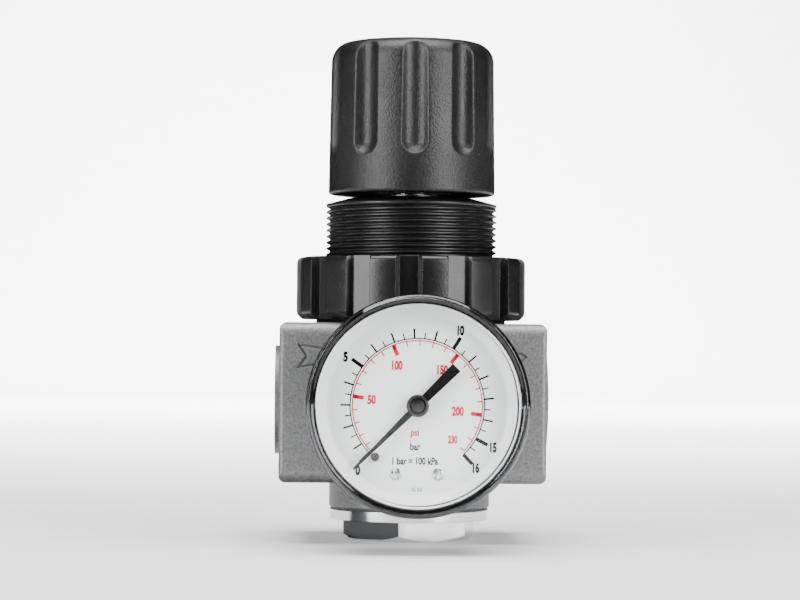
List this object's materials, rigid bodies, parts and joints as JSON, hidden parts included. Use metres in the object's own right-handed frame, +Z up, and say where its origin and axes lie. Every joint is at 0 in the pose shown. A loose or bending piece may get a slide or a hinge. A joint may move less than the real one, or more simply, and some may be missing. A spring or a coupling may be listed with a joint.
{
  "type": "pressure reducing valve",
  "caption": "Compressed-air pressure reducing valve with a fluted push-lock knob, panel ring nut, two pipe ports and a round dial gauge.",
  "frame": {"origin": "centre of the hexagon plug's lower face, on the valve's upright axis", "axes": "+Z up the knob's axis, +X from inlet to outlet, -Y towards the gauge's dial"},
  "size_m": [0.0664, 0.0858, 0.123],
  "materials": {
    "cast_body": "blasted and lightly sealed",
    "chromed_brass": "bright plated",
    "black_nylon": "fine matte grain",
    "bonnet_nylon": "satin",
    "gauge_black": "semi gloss",
    "clear_lens": "clear",
    "dial_enamel": "satin white",
    "pointer_black": "matte",
    "brass": "turned",
    "steel": "turned",
    "spring_steel": "drawn wire",
    "rubber": "matte",
    "nylon_white": "natural",
    "fibre": "pressed fibre"
  },
  "bodies": {
    "valve": {"valve_body": "cast_body", "bottom_plug": "chromed_brass", "bottom_plug_o_ring": "rubber", "poppet_spring": "spring_steel", "diaphragm": "rubber", "slip_ring": "nylon_white", "bonnet": "bonnet_nylon", "thrust_washer": "nylon_white", "rear_port_plug": "chromed_brass", "rear_plug_seal": "fibre", "gauge_socket": "brass", "gauge_seal": "nylon_white", "gauge_case": "gauge_black", "case_screws": "steel", "gauge_lens": "clear_lens", "dial": "dial_enamel", "dial_screws": "steel", "pointer_stop_pin": "steel", "movement_back_plate": "brass", "movement_front_plate": "brass", "movement_pillars": "brass", "movement_screws": "steel", "hairspring": "brass", "bourdon_tube": "brass"},
    "adjusting_screw": {"adjusting_screw": "steel", "screw_clip": "spring_steel", "knob_detent_ring": "spring_steel"},
    "knob": {"knob": "black_nylon"},
    "spring_nut": {"spring_nut": "brass"},
    "diaphragm_centre": {"relief_hub": "brass", "diaphragm_plate": "steel", "main_spring": "spring_steel"},
    "poppet": {"poppet": "brass", "poppet_stem": "steel", "poppet_seal": "rubber"},
    "ring_washer": {"ring_washer": "bonnet_nylon"},
    "ring_nut": {"panel_ring_nut": "black_nylon"},
    "sector": {"sector_gear": "brass", "sector_arbor": "steel", "link_screw": "steel"},
    "pointer": {"pinion_arbor": "brass", "pointer": "pointer_black", "pointer_cap": "steel"},
    "tube_tip": {"tube_tip": "brass", "tip_pin": "steel", "link": "brass"}
  },
  "joints": [
    {"name": "adjust_turn", "type": "hinge", "parent": "valve", "child": "adjusting_screw", "pos_m": [0, 0, 0.08], "axis": [0, 0, 1], "range_deg": [-1801, 0]},
    {"name": "knob_lift", "type": "slide", "parent": "adjusting_screw", "child": "knob", "axis": [0, 0, 1], "range_m": [0, 0.0035]},
    {"name": "nut_travel", "type": "slide", "parent": "valve", "child": "spring_nut", "axis": [0, 0, 1], "range_m": [-0.0075, 0], "deforming": ["main_spring"]},
    {"name": "diaphragm_stroke", "type": "slide", "parent": "valve", "child": "diaphragm_centre", "axis": [0, 0, 1], "range_m": [-0.0015, 0], "stiffness_N_per_m": 3000, "springref_m": 0.002, "deforming": ["diaphragm"]},
    {"name": "poppet_stroke", "type": "slide", "parent": "valve", "child": "poppet", "axis": [0, 0, 1], "range_m": [-0.0015, 0], "deforming": ["poppet_spring"]},
    {"name": "ring_lift", "type": "slide", "parent": "valve", "child": "ring_washer", "axis": [0, 0, 1], "range_m": [0, 0.012]},
    {"name": "ring_turn", "type": "hinge", "parent": "ring_washer", "child": "ring_nut", "pos_m": [0, 0, 0.0615], "axis": [0, 0, 1], "range_deg": [0, 2881]},
    {"name": "sector_turn", "type": "hinge", "parent": "valve", "child": "sector", "pos_m": [0, -0.0415, 0.0235], "axis": [0, -1, 0], "range_deg": [0, 45.27]},
    {"name": "pointer_turn", "type": "hinge", "parent": "valve", "child": "pointer", "pos_m": [0, -0.05, 0.034], "axis": [0, -1, 0], "range_deg": [-271.5, 0], "deforming": ["hairspring"]},
    {"name": "tube_tip_travel", "type": "slide", "parent": "valve", "child": "tube_tip", "axis": [1, 0, 0], "range_m": [0, 0.00277], "stiffness_N_per_m": 200, "springref_m": -0.0005, "deforming": ["bourdon_tube"]}
  ],
  "couplings": [
    {"joint": "adjust_turn", "follows": "nut_travel", "rad_per_m": 4188.8},
    {"joint": "poppet_stroke", "follows": "diaphragm_stroke", "ratio": 1},
    {"joint": "ring_turn", "follows": "ring_lift", "rad_per_m": 4188.8},
    {"joint": "sector_turn", "follows": "tube_tip_travel", "rad_per_m": 285.1},
    {"joint": "pointer_turn", "follows": "tube_tip_travel", "rad_per_m": -1710.6}
  ]
}
